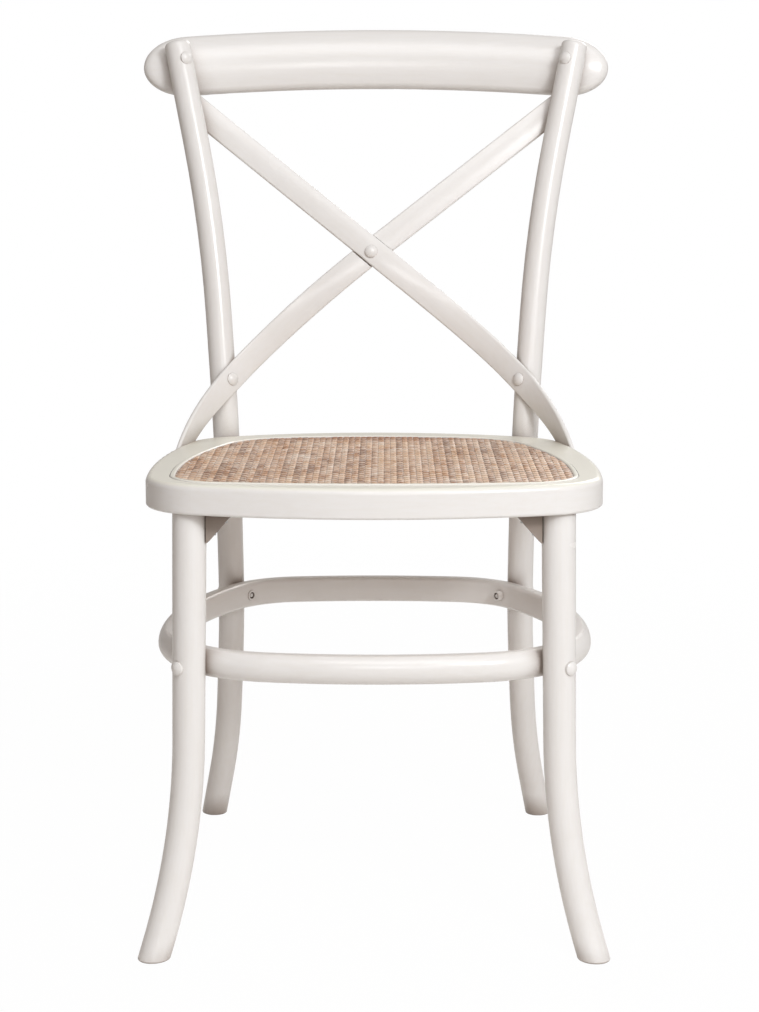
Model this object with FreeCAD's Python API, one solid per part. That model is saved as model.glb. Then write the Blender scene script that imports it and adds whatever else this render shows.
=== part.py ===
import FreeCAD, Part
import math
import os

from FreeCAD import Vector

# A cross back dining chair of bent round wood with a woven cane seat.
# Lengths are in millimetres. +X is to the right of someone who looks at the
# front of the chair, +Y points to its back and +Z points up.

# Seat frame
seat_height = 461.5
seat_thickness = 29.5
seat_width = 448.0
seat_front = 205.0
seat_back = 197.5
seat_front_corner_radius = 70.0
seat_back_corner_radius = 68.0
seat_side_swell = 1.5
seat_back_taper = 21.0
seat_front_bow = 23.0
seat_back_bow = 27.5
seat_top_rounding = 6.0
seat_bottom_rounding = 3.0
seat_joint_turn = 40.0
seat_dowel_diameter = 7.0
seat_dowel_length = 30.0
seat_dowel_outer_inset = 14.0
seat_dowel_spacing = 20.0

# Cane panel and the bead that holds it in its groove
cane_thickness = 1.6
cane_side_border = 30.5
cane_front_border = 30.0
cane_back_border = 39.5
cane_front_corner_radius = 47.0
cane_back_corner_radius = 80.0
cane_side_swell = 0.5
cane_back_taper = 31.0
cane_front_bow = 10.0
cane_back_bow = 8.0
cane_lip_width = 14.0
groove_depth = 7.5
spline_width = 5.6
spline_proud = 1.2
spline_rounding = 2.2
spline_clearance = 0.15

# Front legs: places are outward and back from the seat's front corner post
front_leg_diameter = 33.0
front_foot_diameter = 30.2
front_leg_turn = 59.5
front_leg_edge_inset = 22.0
front_leg_knee_height = 105.0
front_leg_knee_outward = 5.0
front_leg_knee_forward = 5.0
front_foot_outward = 36.5
front_foot_forward = 46.0
front_leg_bend_length = 103.0
tenon_diameter = 20.0
tenon_length = 18.0
foot_rounding = 1.5

# Rear posts: places are outward and back from where each post meets the seat
post_diameter = 28.4
post_turn = 69.0
post_housing = 2.0
post_foot_outward = 26.2
post_foot_back = 106.0
post_ankle_height = 105.0
post_ankle_outward = 5.7
post_ankle_back = 63.0
post_knee_height = 260.0
post_knee_outward = -2.6
post_knee_back = 26.0
post_waist_drop = 6.5
post_waist_outward = -1.5
post_waist_back = -6.0
post_shoulder_height = 685.0
post_shoulder_outward = 15.2
post_shoulder_back = 40.0
post_top_height = 886.0
post_top_outward = 55.5
post_top_back = 80.5
post_bend_length = 52.0
post_waist_bend_length = 88.0
post_shoulder_bend_length = 98.0
post_top_rounding = 5.0

# Crest rail
rail_height = 65.5
rail_thickness = 30.0
rail_front_bulge = 6.0
rail_back_bulge = 3.0
rail_edge_rounding = 9.0
rail_end_overhang = 44.0
rail_end_length = 50.0
rail_bow = 21.0
rail_crown = 8.5
rail_centre_drop = 21.0
rail_housing = 4.5

# Cross straps
strap_width = 27.5
strap_thickness = 7.0
strap_edge_rounding = 2.1
strap_station_spacing = 24.0
strap_bulge = 1.1
strap_housing = 2.0
strap_top_height = 824.0
strap_top_run_out = 4.0
strap_screw_inset = 7.0
strap_cross_height = 659.0
front_strap_cross_offset = 2.2
rear_strap_cross_offset = 5.0
strap_post_height = 520.3
strap_post_slope = 46.0
strap_post_wrap = 37.0
strap_foot_turn = 12.0
strap_foot_slant = 43.0
strap_foot_housing = 2.5
strap_foot_clear_below = 10.0
lap_step = 1.0
lap_gap = 1.2
lap_clearance = 0.3

# Hoop stretcher inside the four legs
hoop_centre_height = 281.0
hoop_height = 28.0
hoop_depth = 21.0
hoop_outer_bulge = 4.5
hoop_inner_bulge = 0.8
hoop_edge_rounding = 5.0
hoop_front_turn = 50.0
hoop_back_turn = 42.0
hoop_front_corner_radius = 125.0
hoop_back_corner_radius = 90.0
hoop_front_swell = 7.5
hoop_back_swell = 5.0
hoop_side_swell = 1.0
hoop_housing = 3.5

# Gussets under the seat frame, beside the front legs
gusset_turn = 8.0
gusset_set_back = 1.0
gusset_run = 26.5
gusset_drop = 30.0
gusset_thickness = 12.0
gusset_wrap = 3.0
gusset_leg_gap = 1.0
gusset_screw_inset = 11.0
gusset_screw_sink = 2.0
gusset_up_screw_length = 24.0
gusset_side_screw_length = 22.0

# Screws, bolts and their painted caps
cap_diameter = 13.4
cap_skirt = 1.0
cap_rise = 2.6
cap_seat = 0.8
cap_stem_length = 2.2
screw_diameter = 5.0
screw_head_diameter = 9.5
screw_head_height = 2.6
screw_point_length = 3.0
bolt_end_bevel = 0.6
screw_hole_clearance = 0.3
small_screw_diameter = 4.0
small_screw_head_diameter = 8.0
strap_screw_grip = 16.0
strap_foot_screw_grip = 20.0
strap_foot_screw_rise = 10.0
centre_screw_skin = 0.6
seat_bolt_diameter = 6.0
seat_bolt_head_diameter = 11.0
seat_bolt_reach = 32.0
barrel_nut_diameter = 11.0
barrel_nut_height = 18.0
hoop_screw_grip = 15.0
crest_screw_turn = 33.0
crest_screw_drop = 19.5
crest_screw_grip = 22.0
sleeve_diameter = 11.0
sleeve_bore = 7.4
sleeve_seat_depth = 3.0
sleeve_proud_left = 1.2
sleeve_proud_right = 6.0
hoop_bolt_set_back = 0.8

cut_margin = 60.0

X_AXIS = Vector(1, 0, 0)
Y_AXIS = Vector(0, 1, 0)
Z_AXIS = Vector(0, 0, 1)
SIDES = (("left", -1), ("right", 1))


# Vectors and edges

def unit(vector):
    return vector / vector.Length


def turned(degrees):
    angle = math.radians(degrees)
    return Vector(math.cos(angle), math.sin(angle), 0)


def mirrored(vector, side):
    return Vector(side * vector.x, vector.y, vector.z)


def mirrored_shape(shape):
    return shape.mirror(Vector(0, 0, 0), X_AXIS)


def arc_about(centre, start, end):
    """The shorter arc about a centre from one point to another."""
    middle = centre + unit(start + end - centre * 2) * (start - centre).Length
    return Part.Arc(start, middle, end).toShape()


def place_frame(origin, x_direction, y_direction, z_direction):
    """The placement whose local axes are the given directions."""
    matrix = FreeCAD.Matrix(
        x_direction.x, y_direction.x, z_direction.x, origin.x,
        x_direction.y, y_direction.y, z_direction.y, origin.y,
        x_direction.z, y_direction.z, z_direction.z, origin.z,
        0, 0, 0, 1)
    return FreeCAD.Placement(matrix)


def placed_along(shape, origin, direction):
    """A shape made about +Z, moved to an origin and turned to a direction."""
    result = shape.copy()
    result.Placement = FreeCAD.Placement(origin, FreeCAD.Rotation(Z_AXIS, direction))
    return result


def rod(diameter, start, end):
    direction = end - start
    return Part.makeCylinder(diameter / 2, direction.Length, start, direction)


# Closed ring outlines of tangent arcs, as seen from above

def ring_centres(front_centre, front_radius, back_centre, back_radius, swells):
    """Centre and radius of each arc on the right side of a ring outline."""
    front_swell, back_swell, side_swell = swells
    half_width = max(front_centre.x + front_radius, back_centre.x + back_radius) + side_swell

    def end_radius(centre, radius, swell):
        reach = radius + swell
        return (centre.x ** 2 + reach ** 2 - radius ** 2) / (2 * swell)

    front_big = end_radius(front_centre, front_radius, front_swell)
    back_big = end_radius(back_centre, back_radius, back_swell)
    front_y = front_centre.y - front_radius - front_swell
    back_y = back_centre.y + back_radius + back_swell
    front_gap = half_width - front_centre.x
    back_gap = half_width - back_centre.x
    front_lead = front_gap - front_radius
    back_lead = back_gap - back_radius
    front_part = front_gap ** 2 - front_radius ** 2
    back_part = back_gap ** 2 - back_radius ** 2
    a = back_lead - front_lead
    b = 2 * (front_lead * back_centre.y - back_lead * front_centre.y)
    c = back_lead * (front_part + front_centre.y ** 2) - front_lead * (back_part + back_centre.y ** 2)
    if abs(a) < 1e-9:
        side_y = -c / b
    else:
        root = math.sqrt(b * b - 4 * a * c)
        middle = (front_centre.y + back_centre.y) / 2
        side_y = min(((-b + root) / (2 * a), (-b - root) / (2 * a)), key=lambda y: abs(y - middle))
    side_big = (front_part + (front_centre.y - side_y) ** 2) / (2 * front_lead)
    return [
        (Vector(0, front_y + front_big, 0), front_big),
        (front_centre, front_radius),
        (Vector(half_width - side_big, side_y, 0), side_big),
        (back_centre, back_radius),
        (Vector(0, back_y - back_big, 0), back_big),
    ]


def ring_arcs(centres, inset, z):
    """The eight arcs of a ring outline, moved inwards by an inset, as (centre, start, end)."""
    def tangent_point(big, small):
        centre, radius = small
        return centre + unit(centre - big[0]) * (radius - inset)

    front, front_corner, side, back_corner, back = centres
    right = [
        tangent_point(front, front_corner),
        tangent_point(side, front_corner),
        tangent_point(side, back_corner),
        tangent_point(back, back_corner),
    ]
    left = [mirrored(point, -1) for point in right]
    arcs = [
        (front[0], left[0], right[0]),
        (front_corner[0], right[0], right[1]),
        (side[0], right[1], right[2]),
        (back_corner[0], right[2], right[3]),
        (back[0], right[3], left[3]),
        (mirrored(back_corner[0], -1), left[3], left[2]),
        (mirrored(side[0], -1), left[2], left[1]),
        (mirrored(front_corner[0], -1), left[1], left[0]),
    ]
    lift = Vector(0, 0, z)
    return [(centre + lift, start + lift, end + lift) for centre, start, end in arcs]


def ring_plate(centres, inset, bottom, top):
    wire = Part.Wire([arc_about(*arc) for arc in ring_arcs(centres, inset, bottom)])
    return Part.Face(wire).extrude(Vector(0, 0, top - bottom))


def edges_at_height(shape, z):
    return [edge for edge in shape.Edges
            if abs(edge.BoundBox.ZMin - z) < 1e-4 and abs(edge.BoundBox.ZMax - z) < 1e-4]


# Sections with two bulged faces and rounded edges, in local X (depth) and Y (height)

def bulged_section(height, depth, front_bulge, back_bulge, rounding):
    """A closed section whose front faces -X and whose edges have one rounding."""
    half = height / 2 - rounding
    edges = []
    corners = []
    for side, bulge, rise in ((-1, front_bulge, 1), (1, back_bulge, -1)):
        crown = side * (depth / 2 - rounding)
        radius = (half ** 2 + bulge ** 2) / (2 * bulge)
        centre = Vector(crown - side * radius, 0, 0)
        ends = [Vector(crown - side * bulge, -rise * half, 0), Vector(crown - side * bulge, rise * half, 0)]
        outer = [end + unit(end - centre) * rounding for end in ends]
        middle = Vector(crown + side * rounding, 0, 0)
        edges.append(Part.Arc(outer[0], middle, outer[1]).toShape())
        corners.append((ends, outer))
    wire = []
    for number, (ends, outer) in enumerate(corners):
        next_ends, next_outer = corners[1 - number]
        rise = 1 if ends[1].y > 0 else -1
        level = Vector(0, rise * rounding, 0)
        wire.append(edges[number])
        wire.append(arc_about(ends[1], outer[1], ends[1] + level))
        wire.append(Part.makeLine(ends[1] + level, next_ends[0] + level))
        wire.append(arc_about(next_ends[0], next_ends[0] + level, next_outer[0]))
    return Part.Wire(wire)


# Bent round rods

def bent_axis(points, bend_lengths):
    """Edges of a path through points, with a tangent arc at each inner point."""
    edges = []
    start = points[0]
    for before, corner, after, length in zip(points, points[1:], points[2:], bend_lengths):
        entry = corner + unit(before - corner) * length
        leave = corner + unit(after - corner) * length
        half_turn = (corner - before).getAngle(after - corner) / 2
        inward = unit(unit(before - corner) + unit(after - corner))
        radius = length / math.tan(half_turn)
        crown = corner + inward * (radius / math.cos(half_turn) - radius)
        edges.append(Part.makeLine(start, entry))
        edges.append(Part.Arc(entry, crown, leave).toShape())
        start = leave
    edges.append(Part.makeLine(start, points[-1]))
    return edges


def bent_rod(edges, start_diameter, end_diameter):
    """A round rod along a path, which may grow or shrink from its start to its end."""
    start = edges[0].valueAt(edges[0].FirstParameter)
    end = edges[-1].valueAt(edges[-1].LastParameter)
    start_direction = edges[0].tangentAt(edges[0].FirstParameter)
    end_direction = edges[-1].tangentAt(edges[-1].LastParameter)
    profiles = [Part.Wire([Part.makeCircle(start_diameter / 2, start, start_direction)])]
    if end_diameter != start_diameter:
        profiles.append(Part.Wire([Part.makeCircle(end_diameter / 2, end, end_direction)]))
    return Part.Wire(edges).makePipeShell(profiles, True, True)


def axis_at(edges, height):
    """Point and upward direction where a path of edges passes a height."""
    for edge in edges:
        low, high = edge.FirstParameter, edge.LastParameter
        if (edge.valueAt(low).z - height) * (edge.valueAt(high).z - height) > 0:
            continue
        rising = edge.valueAt(high).z > edge.valueAt(low).z
        for _ in range(60):
            middle = (low + high) / 2
            if (edge.valueAt(middle).z < height) == rising:
                low = middle
            else:
                high = middle
        direction = edge.tangentAt(low)
        return edge.valueAt(low), direction if direction.z > 0 else direction * -1
    raise ValueError("the path does not pass this height")


def below_floor():
    reach = 10 * cut_margin
    return Part.makeBox(2 * reach, 2 * reach, reach, Vector(-reach, -reach, -reach))


def rounded_foot(shape):
    edges = [edge for edge in edges_at_height(shape, 0) if edge.Length > front_leg_diameter]
    return shape.makeFillet(foot_rounding, edges)


# Seat frame

seat_bottom = seat_height - seat_thickness
seat_middle = seat_height - seat_thickness / 2
seat_front_corner = Vector(
    seat_width / 2 - seat_side_swell - seat_front_corner_radius,
    -seat_front + seat_front_bow + seat_front_corner_radius, 0)
seat_back_corner = Vector(
    seat_width / 2 - seat_back_taper - seat_back_corner_radius,
    seat_back - seat_back_bow - seat_back_corner_radius, 0)
seat_ring = ring_centres(
    seat_front_corner, seat_front_corner_radius, seat_back_corner, seat_back_corner_radius,
    (seat_front_bow, seat_back_bow, seat_side_swell))

cane_half_width = seat_width / 2 - cane_side_border
cane_front_corner = Vector(
    cane_half_width - cane_side_swell - cane_front_corner_radius,
    -seat_front + cane_front_border + cane_front_bow + cane_front_corner_radius, 0)
cane_back_corner = Vector(
    cane_half_width - cane_back_taper - cane_back_corner_radius,
    seat_back - cane_back_border - cane_back_bow - cane_back_corner_radius, 0)
cane_ring = ring_centres(
    cane_front_corner, cane_front_corner_radius, cane_back_corner, cane_back_corner_radius,
    (cane_front_bow, cane_back_bow, cane_side_swell))

groove_bottom = seat_height - groove_depth
cane_bottom = seat_height - cane_thickness


def whole_seat_frame():
    """The bent seat frame in one ring, with its opening, cane rebate and spline groove."""
    body = ring_plate(seat_ring, 0, seat_bottom, seat_height)
    body = body.makeFillet(seat_top_rounding, edges_at_height(body, seat_height))
    body = body.makeFillet(seat_bottom_rounding, edges_at_height(body, seat_bottom))
    opening = ring_plate(cane_ring, cane_thickness + cane_lip_width, seat_bottom - 1, seat_height + 1)
    rebate = ring_plate(cane_ring, cane_thickness, cane_bottom, seat_height + 1)
    outer = ring_plate(cane_ring, -spline_width - spline_clearance, groove_bottom, seat_height + 1)
    inner = ring_plate(cane_ring, cane_thickness, groove_bottom, seat_height + 1)
    return body.cut(opening).cut(rebate).cut(outer.cut(inner))


def back_rail_zone():
    """A prism round the part of the seat frame that is its separate back rail."""
    reach = 3 * cut_margin
    outward = turned(seat_joint_turn)
    points = [seat_back_corner - outward * (cut_margin / 2)]
    points.append(seat_back_corner + outward * reach)
    points.append(Vector(points[-1].x, seat_back + reach, 0))
    points += [mirrored(point, -1) for point in reversed(points)]
    points = [point + Vector(0, 0, seat_bottom - 1) for point in points]
    face = Part.Face(Part.makePolygon(points + points[:1]))
    return face.extrude(Vector(0, 0, seat_thickness + 2))


def seat_dowels():
    """Two dowels across each joint between the bow and the back rail."""
    outward = turned(seat_joint_turn)
    along = Z_AXIS.cross(outward)
    height = Vector(0, 0, (seat_bottom + groove_bottom) / 2)
    dowels = []
    for number in range(2):
        inset = seat_dowel_outer_inset + number * seat_dowel_spacing
        middle = seat_back_corner + outward * (seat_back_corner_radius - inset) + height
        half = along * (seat_dowel_length / 2)
        for _, side in SIDES:
            start = mirrored(middle - half, side)
            end = mirrored(middle + half, side)
            dowels.append(rod(seat_dowel_diameter, start, end))
    return dowels


def cane_panel():
    """The woven panel: a flat sheet with its edge turned down into the groove."""
    sheet = ring_plate(cane_ring, 0, cane_bottom, seat_height)
    outer = ring_plate(cane_ring, 0, groove_bottom, cane_bottom)
    inner = ring_plate(cane_ring, cane_thickness, groove_bottom, cane_bottom)
    return sheet.fuse(outer.cut(inner)).removeSplitter()


def cane_spline():
    """The bead that holds the cane in the groove, rounded where it stands proud."""
    top = seat_height + spline_proud
    outer = ring_plate(cane_ring, -spline_width, groove_bottom, top)
    bead = outer.cut(ring_plate(cane_ring, 0, groove_bottom, top))
    return bead.makeFillet(spline_rounding, edges_at_height(bead, top))


# Front legs

front_leg_top = seat_front_corner + turned(-front_leg_turn) * (
    seat_front_corner_radius - front_leg_edge_inset)


def front_leg_axis():
    top = front_leg_top + Vector(0, 0, seat_bottom)
    knee = front_leg_top + Vector(front_leg_knee_outward, -front_leg_knee_forward, front_leg_knee_height)
    foot = front_leg_top + Vector(front_foot_outward, -front_foot_forward, 0)
    beyond = foot + unit(foot - knee) * cut_margin
    return bent_axis([beyond, knee, top], [front_leg_bend_length])


front_axis = front_leg_axis()


def front_leg():
    """A round leg, bent outwards and forwards at its foot, with a tenon on top."""
    body = bent_rod(front_axis, front_foot_diameter, front_leg_diameter).cut(below_floor())
    top_trim = Part.makeBox(2 * cut_margin, 2 * cut_margin, cut_margin,
                            front_leg_top + Vector(-cut_margin, -cut_margin, seat_bottom))
    body = rounded_foot(body.cut(top_trim))
    base = front_leg_top + Vector(0, 0, seat_bottom)
    return body.fuse(rod(tenon_diameter, base, base + Z_AXIS * tenon_length))


def tenon_bore():
    base = front_leg_top + Vector(0, 0, seat_bottom)
    return rod(tenon_diameter, base - Z_AXIS, base + Z_AXIS * tenon_length)


# Rear posts

post_at_seat = seat_back_corner + turned(post_turn) * (
    seat_back_corner_radius + post_diameter / 2 - post_housing)


def post_axis():
    def station(outward, back, height):
        return post_at_seat + Vector(outward, back, height)

    points = [
        station(post_foot_outward, post_foot_back, 0),
        station(post_ankle_outward, post_ankle_back, post_ankle_height),
        station(post_knee_outward, post_knee_back, post_knee_height),
        station(post_waist_outward, post_waist_back, seat_height - post_waist_drop),
        station(post_shoulder_outward, post_shoulder_back, post_shoulder_height),
        station(post_top_outward, post_top_back, post_top_height),
    ]
    points[0] = points[0] + unit(points[0] - points[1]) * cut_margin
    bends = [post_bend_length, post_bend_length, post_waist_bend_length, post_shoulder_bend_length]
    return bent_axis(points, bends)


rear_axis = post_axis()
post_top, post_top_direction = rear_axis[-1].valueAt(rear_axis[-1].LastParameter), unit(
    rear_axis[-1].tangentAt(rear_axis[-1].LastParameter))


def rear_post():
    """A round rear leg that carries on past the seat as a post of the back."""
    body = bent_rod(rear_axis, post_diameter, post_diameter)
    top_edges = [edge for edge in body.Edges
                 if (edge.CenterOfMass - post_top).Length < 1e-3]
    body = body.makeFillet(post_top_rounding, top_edges)
    return rounded_foot(body.cut(below_floor()))


def back_normal(direction):
    """The direction square to a post and to the chair's width, towards the back."""
    return unit(Vector(0, direction.z, -direction.y))


# Crest rail

rail_screw_point, _ = axis_at(rear_axis, post_top_height - crest_screw_drop)
rail_back_direction = back_normal(post_top_direction)
rail_up_direction = unit(X_AXIS.cross(rail_back_direction))


def crest_rail():
    """A thick bent rail behind the post tops, with long round ends."""
    set_back = post_diameter / 2 + rail_thickness / 2 - rail_housing
    side_point = rail_screw_point + rail_back_direction * set_back
    side_point = side_point - rail_up_direction * (rail_centre_drop - crest_screw_drop)
    middle = Vector(0, side_point.y + rail_bow, side_point.z + rail_crown)
    half_span = side_point.x
    sag = math.hypot(rail_bow, rail_crown)
    radius = (half_span ** 2 + sag ** 2) / (2 * sag)
    to_middle = unit(Vector(0, rail_bow, rail_crown))
    centre = middle - to_middle * radius
    spin = unit(to_middle.cross(X_AXIS))
    half_angle = (half_span + rail_end_overhang - rail_end_length) / radius
    face = Part.Face(bulged_section(rail_height, rail_thickness, rail_front_bulge,
                                    rail_back_bulge, rail_edge_rounding))
    cap = rail_end(face)
    place = place_frame(middle, rail_back_direction, rail_up_direction, X_AXIS)
    face.Placement = place
    cap.Placement = place
    cap.rotate(centre, spin, math.degrees(half_angle))
    right = face.revolve(centre, spin, math.degrees(half_angle)).fuse(cap)
    return right.fuse(mirrored_shape(right)).removeSplitter()


def rail_end(face):
    """The rail's end: half a turn of the section about its depth, stretched lengthwise."""
    reach = rail_height
    keep = Part.makeBox(2 * reach, reach, 2 * reach, Vector(-reach, 0, -reach))
    cap = face.common(keep).revolve(Vector(0, 0, 0), X_AXIS, 180)
    stretch = FreeCAD.Matrix()
    stretch.A33 = rail_end_length / (rail_height / 2)
    return cap.transformGeometry(stretch)


# Cross straps

def hermite(start, start_slope, end, end_slope, t):
    a = 2 * t ** 3 - 3 * t ** 2 + 1
    b = t ** 3 - 2 * t ** 2 + t
    c = -2 * t ** 3 + 3 * t ** 2
    d = t ** 3 - t ** 2
    return start * a + start_slope * b + end * c + end_slope * d


def hermite_slope(start, start_slope, end, end_slope, t):
    a = 6 * t ** 2 - 6 * t
    b = 3 * t ** 2 - 4 * t + 1
    c = 6 * t - 6 * t ** 2
    d = 3 * t ** 2 - 2 * t
    return start * a + start_slope * b + end * c + end_slope * d


post_contact_gap = post_diameter / 2 - strap_housing + strap_thickness / 2


def strap_keys(step, offset):
    """Points, directions and front normals of a strap that runs down to the right.

    The step moves its crossing forwards and the offset moves it to the right. Low down
    the strap lies on the front inner flank of the post.
    """
    top_axis, top_direction = axis_at(rear_axis, strap_top_height)
    top_back = back_normal(top_direction)
    top_screw = mirrored(top_axis, -1) + top_back * post_contact_gap
    low_axis, low_direction = axis_at(rear_axis, strap_post_height)
    low_back = back_normal(low_direction)
    wrap = math.radians(strap_post_wrap)
    low_inward = unit(low_direction.cross(low_back))
    low_front = low_inward * math.sin(wrap) - low_back * math.cos(wrap)
    low = low_axis + low_front * post_contact_gap
    share = -top_screw.x / (low.x - top_screw.x)
    cross = Vector(offset, top_screw.y + (low.y - top_screw.y) * share, strap_cross_height)
    fall = unit(cross - top_screw)
    top_end = top_screw - fall * strap_top_run_out
    slope = math.radians(strap_post_slope)
    low_run = Vector(math.cos(slope), 0, -math.sin(slope))
    low_run = unit(low_run - Y_AXIS * (low_run.dot(low_front) / low_front.y))
    foot_out = turned(strap_foot_turn)
    side_centre, side_radius = seat_ring[2]
    foot = side_centre + foot_out * (side_radius + strap_thickness / 2 - strap_foot_housing)
    foot_end = foot + Vector(0, 0, seat_bottom + strap_foot_clear_below)
    slant = math.radians(strap_foot_slant)
    foot_run = foot_out.cross(Z_AXIS) * math.sin(slant) - Z_AXIS * math.cos(slant)
    front_of_back = top_back * -1
    middle_front = unit(front_of_back - low_back)
    return [
        (top_end, fall, front_of_back),
        (cross + middle_front * step, fall, middle_front),
        (low, low_run, low_front),
        (foot_end, foot_run, foot_out * -1),
    ]


strap_points = strap_keys(0, 0)


def strap_wire(point, direction, front):
    """The strap's section at a point of its run."""
    front = unit(front - direction * front.dot(direction))
    across = unit(direction.cross(front))
    section = bulged_section(strap_width, strap_thickness, strap_bulge, strap_bulge,
                             strap_edge_rounding)
    section.Placement = place_frame(point, front * -1, across, unit((front * -1).cross(across)))
    return section


def turned_share(t, below_post):
    """How much of the turn to the next key is done: below the post most of it comes soon."""
    return t * (2 - t) if below_post else t * t * (3 - 2 * t)


def strap(keys):
    """A flat strap lofted through evenly spaced sections that turn with its run."""
    wires = []
    for (start, start_way, start_front), (end, end_way, end_front) in zip(keys, keys[1:]):
        length = (end - start).Length
        count = max(1, round(length / strap_station_spacing))
        for step in range(count):
            t = step / count
            point = hermite(start, start_way * length, end, end_way * length, t)
            way = unit(hermite_slope(start, start_way * length, end, end_way * length, t))
            blend = turned_share(t, end == keys[-1][0])
            front = unit(start_front * (1 - blend) + end_front * blend)
            wires.append(strap_wire(point, way, front))
    wires.append(strap_wire(*keys[-1]))
    return Part.makeLoft(wires, True, False)


def lap_block(fall, gap, side, offset):
    """The room of one strap at the crossing, in front of the lap's plane or behind it.

    The gap is along one edge of the strap, and the lap's clearance along the other.
    """
    cross, _, front = strap_points[1]
    cross = cross - X_AXIS * offset
    facing = front * side
    across = unit(fall.cross(front))
    edge = strap_width / 2 + lap_clearance
    block = Part.makeBox(2 * cut_margin, edge + strap_width / 2 + gap, strap_thickness + lap_step,
                         Vector(-cut_margin, -edge, 0))
    block.Placement = place_frame(cross, across.cross(facing), across, facing)
    return block


def cross_straps():
    """The strap that lies in front, down to the right, and the one behind it."""
    over_keys = strap_keys(lap_step, -front_strap_cross_offset)
    under_keys = strap_keys(-lap_step, rear_strap_cross_offset)
    over = strap(over_keys)
    under = mirrored_shape(strap(under_keys))
    under_fall = mirrored(under_keys[1][1], -1)
    over_fall = over_keys[1][1]
    over = over.cut(lap_block(under_fall, lap_clearance, -1, rear_strap_cross_offset))
    under = under.cut(lap_block(over_fall, lap_gap, 1, front_strap_cross_offset))
    return over, under


# Hoop stretcher

def inward_from(turn, back_sign):
    """Level direction from a leg towards the middle of the hoop."""
    angle = math.radians(turn)
    return Vector(-math.cos(angle), -back_sign * math.sin(angle), 0)


hoop_leg_point, hoop_leg_direction = axis_at(front_axis, hoop_centre_height)
hoop_post_point, hoop_post_direction = axis_at(rear_axis, hoop_centre_height)
hoop_leg_inward = inward_from(hoop_front_turn, -1)
hoop_post_inward = inward_from(hoop_back_turn, 1)
hoop_seat_offset = hoop_depth / 2 - hoop_housing


def hoop_corner(axis_point, rod_diameter, inward, radius):
    level = Vector(axis_point.x, axis_point.y, 0)
    return level + inward * (rod_diameter / 2 + hoop_seat_offset + radius)


hoop_ring = ring_centres(
    hoop_corner(hoop_leg_point, front_leg_diameter, hoop_leg_inward, hoop_front_corner_radius),
    hoop_front_corner_radius,
    hoop_corner(hoop_post_point, post_diameter, hoop_post_inward, hoop_back_corner_radius),
    hoop_back_corner_radius,
    (hoop_front_swell, hoop_back_swell, hoop_side_swell))


def hoop_stretcher():
    """A full bent hoop, hollowed on its outer face to seat each leg."""
    section = bulged_section(hoop_height, hoop_depth, hoop_outer_bulge, hoop_inner_bulge,
                             hoop_edge_rounding)
    hoop = None
    for centre, start, end in ring_arcs(hoop_ring, 0, hoop_centre_height):
        out = unit(start - centre)
        profile = section.copy()
        profile.Placement = place_frame(start, out * -1, Z_AXIS, unit((out * -1).cross(Z_AXIS)))
        turn = math.degrees((start - centre).getAngle(end - centre))
        piece = Part.Face(profile).revolve(centre, Z_AXIS, turn)
        hoop = piece if hoop is None else hoop.fuse(piece)
    hoop = hoop.removeSplitter()
    return hoop.cut(both(front_leg()) + both(rear_post()))


# Gussets

def gusset_frame():
    """Start point under the frame beside a leg, the way along the gusset and its back."""
    along = turned(180 + gusset_turn)
    back = along.cross(Z_AXIS)
    start = front_leg_top + along * (front_leg_diameter / 2 + gusset_leg_gap)
    return start + back * gusset_set_back + Vector(0, 0, seat_bottom), along, back


def gusset():
    """A triangular block under the frame, whose end is hollowed to fit round a front leg."""
    start, along, back = gusset_frame()
    end = start - along * gusset_wrap
    corners = [
        end,
        start + along * gusset_run,
        start - Z_AXIS * gusset_drop,
        end - Z_AXIS * gusset_drop,
    ]
    half = back * (gusset_thickness / 2)
    outline = Part.makePolygon([corner - half for corner in corners + corners[:1]])
    leg_top = Vector(front_leg_top.x, front_leg_top.y, seat_bottom)
    leg_low, _ = axis_at(front_axis, seat_bottom - gusset_run - gusset_drop)
    leg_room = rod(front_leg_diameter + 2 * gusset_leg_gap, leg_low, leg_top * 2 - leg_low)
    return Part.Face(outline).extrude(half * 2).cut(leg_room)


# Screws and caps, made about +Z and pointing into the wood along +Z

def screw_shape(diameter, head_diameter, length, head_offset, tip=None):
    """A screw whose head starts below the surface by an offset.

    The tip is its length and how far it narrows on each side, or None for a point.
    """
    tip_length, tip_bevel = tip or (screw_point_length, diameter * 3 / 8)
    head = Part.makeCylinder(head_diameter / 2, screw_head_height, Vector(0, 0, head_offset))
    shank_start = head_offset + screw_head_height
    shank = Part.makeCylinder(diameter / 2, length - tip_length, Vector(0, 0, shank_start))
    point = Part.makeCone(diameter / 2, diameter / 2 - tip_bevel, tip_length,
                          Vector(0, 0, shank_start + length - tip_length))
    return head.fuse([shank, point]).removeSplitter()


def cap_shape(diameter, sink):
    """A domed cap with a short stem, let into the surface by its sink."""
    radius = diameter / 2
    ball = (radius ** 2 + cap_rise ** 2) / (2 * cap_rise)
    dome_top = Vector(0, 0, -cap_skirt - cap_rise)
    rim = Vector(radius, 0, -cap_skirt)
    half = math.asin(radius / ball) / 2
    middle = Vector(ball * math.sin(half), 0, dome_top.z + ball * (1 - math.cos(half)))
    outline = [
        Part.Arc(dome_top, middle, rim).toShape(),
        Part.makeLine(rim, Vector(radius, 0, sink)),
        Part.makeLine(Vector(radius, 0, sink), Vector(0, 0, sink)),
        Part.makeLine(Vector(0, 0, sink), dome_top),
    ]
    return Part.Face(Part.Wire(outline)).revolve(Vector(0, 0, 0), Z_AXIS, 360)


def round_surface_sink(surface_diameter):
    """How deep a cap's flat underside lies below the crest of a round rod."""
    half = surface_diameter / 2
    return half - math.sqrt(half ** 2 - (cap_diameter / 2) ** 2) + 0.4


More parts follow.
